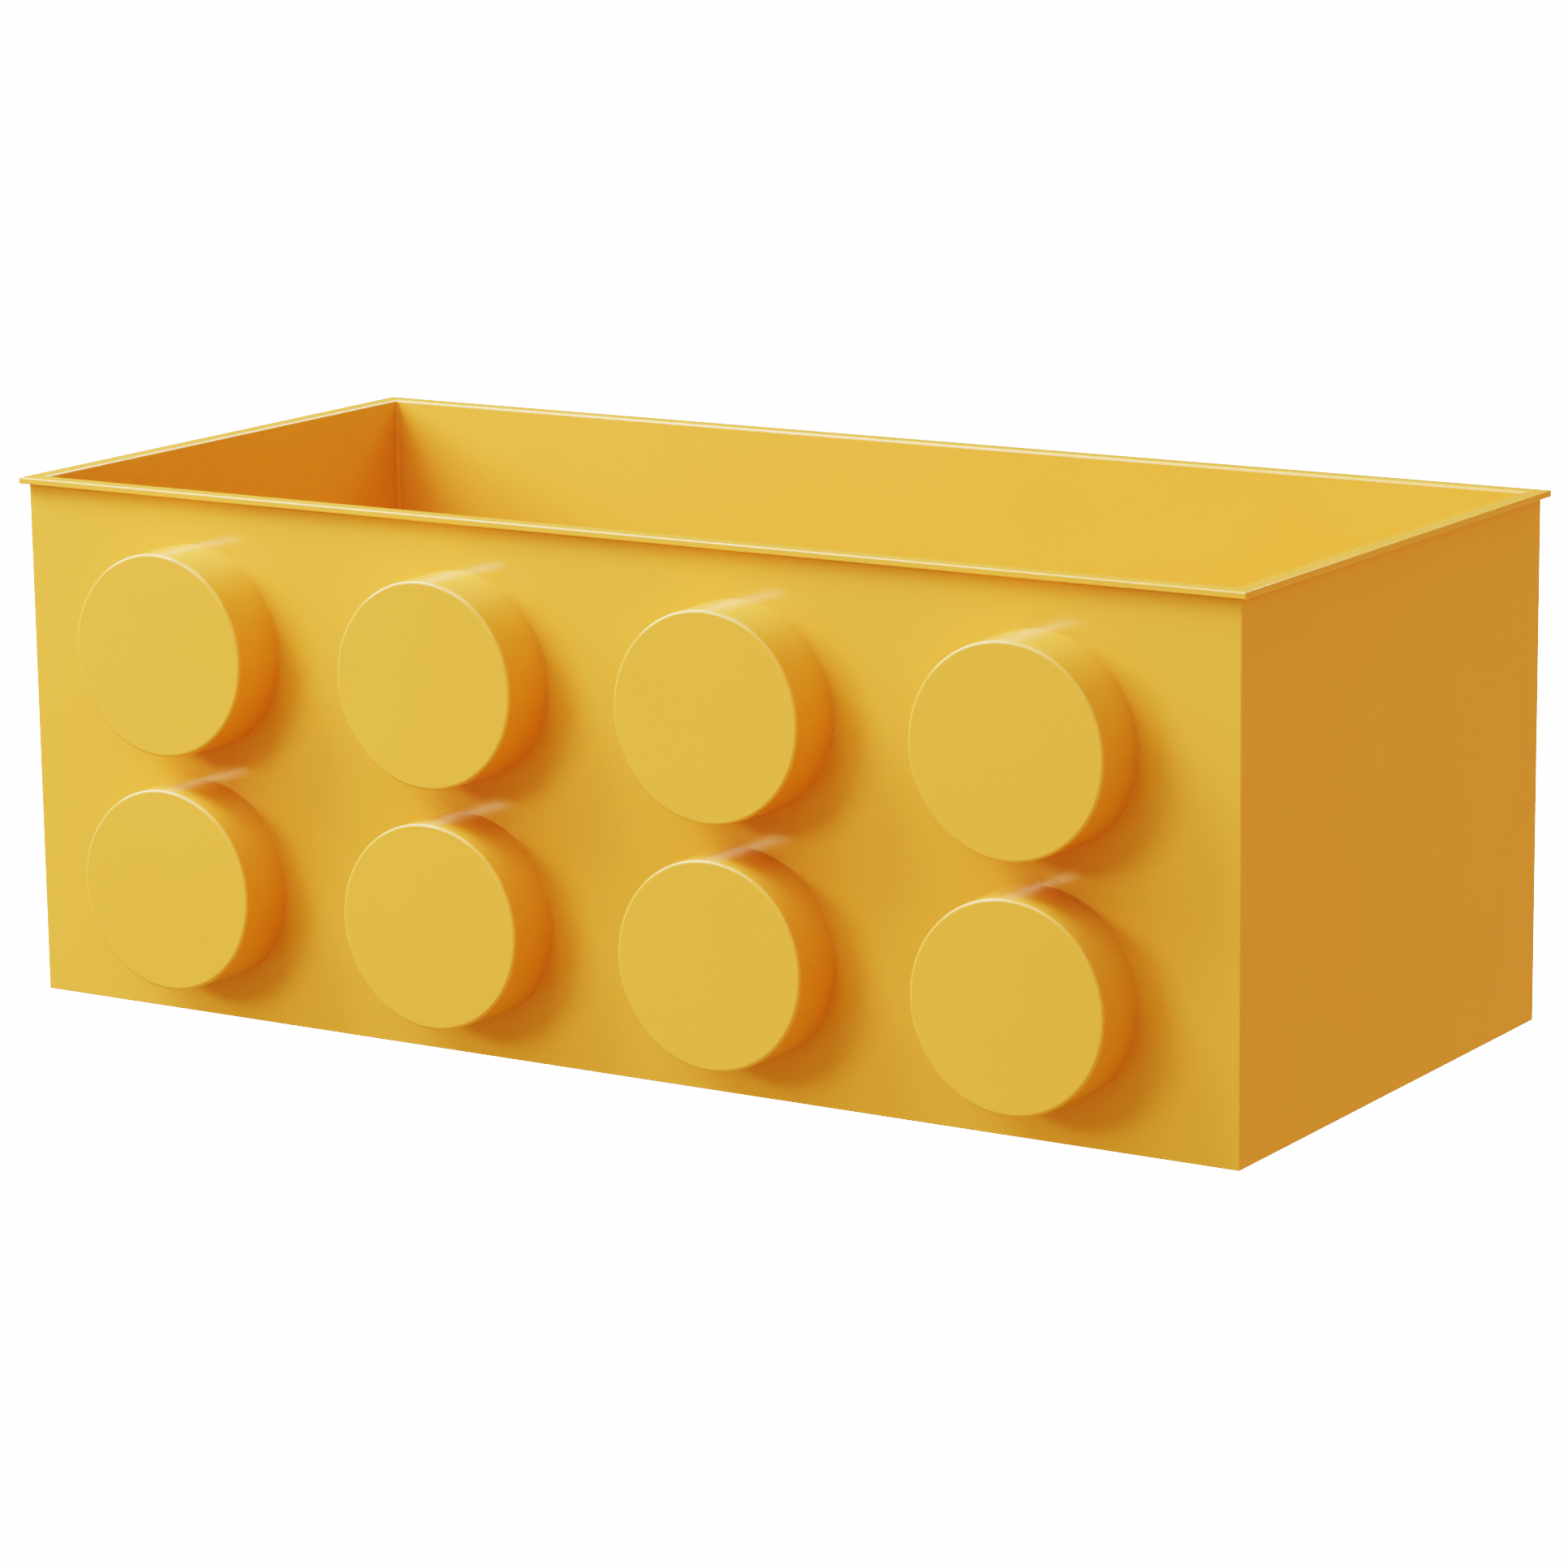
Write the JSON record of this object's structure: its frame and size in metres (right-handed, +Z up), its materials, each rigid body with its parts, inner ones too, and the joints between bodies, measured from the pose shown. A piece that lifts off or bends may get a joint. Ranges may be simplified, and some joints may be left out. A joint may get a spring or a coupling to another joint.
{
  "type": "magnetic storage box",
  "caption": "Open-top moulded storage box with a flat rim, a grid of round studs snapped onto its front and a magnetic back cover that holds it on steel.",
  "frame": {"origin": "middle of the tub's flat base, on the surface that the box stands on", "axes": "+X along the box's width, to the right seen from the front; +Y from the studded front to the magnetic back; +Z up"},
  "size_m": [0.2224, 0.1144, 0.085],
  "materials": {
    "yellow_plastic": "satin moulded ABS, warm yellow, fine even texture",
    "grip_rubber": "matt soft rubber sheet, fine grain",
    "magnet_nickel": "nickel-plated disc magnet",
    "screw_zinc": "zinc-plated steel screw"
  },
  "bodies": {
    "root": {"tub": "yellow_plastic", "rear_cover": "yellow_plastic", "grip_pad": "grip_rubber", "stud_cap_1": "yellow_plastic", "stud_cap_2": "yellow_plastic", "stud_cap_3": "yellow_plastic", "stud_cap_4": "yellow_plastic", "stud_cap_5": "yellow_plastic", "stud_cap_6": "yellow_plastic", "stud_cap_7": "yellow_plastic", "stud_cap_8": "yellow_plastic", "magnet_1": "magnet_nickel", "magnet_2": "magnet_nickel", "magnet_3": "magnet_nickel", "magnet_4": "magnet_nickel", "magnet_5": "magnet_nickel", "magnet_6": "magnet_nickel", "cover_screw_1": "screw_zinc", "cover_screw_2": "screw_zinc", "cover_screw_3": "screw_zinc", "cover_screw_4": "screw_zinc", "cover_screw_5": "screw_zinc", "cover_screw_6": "screw_zinc"}
  },
  "joints": []
}
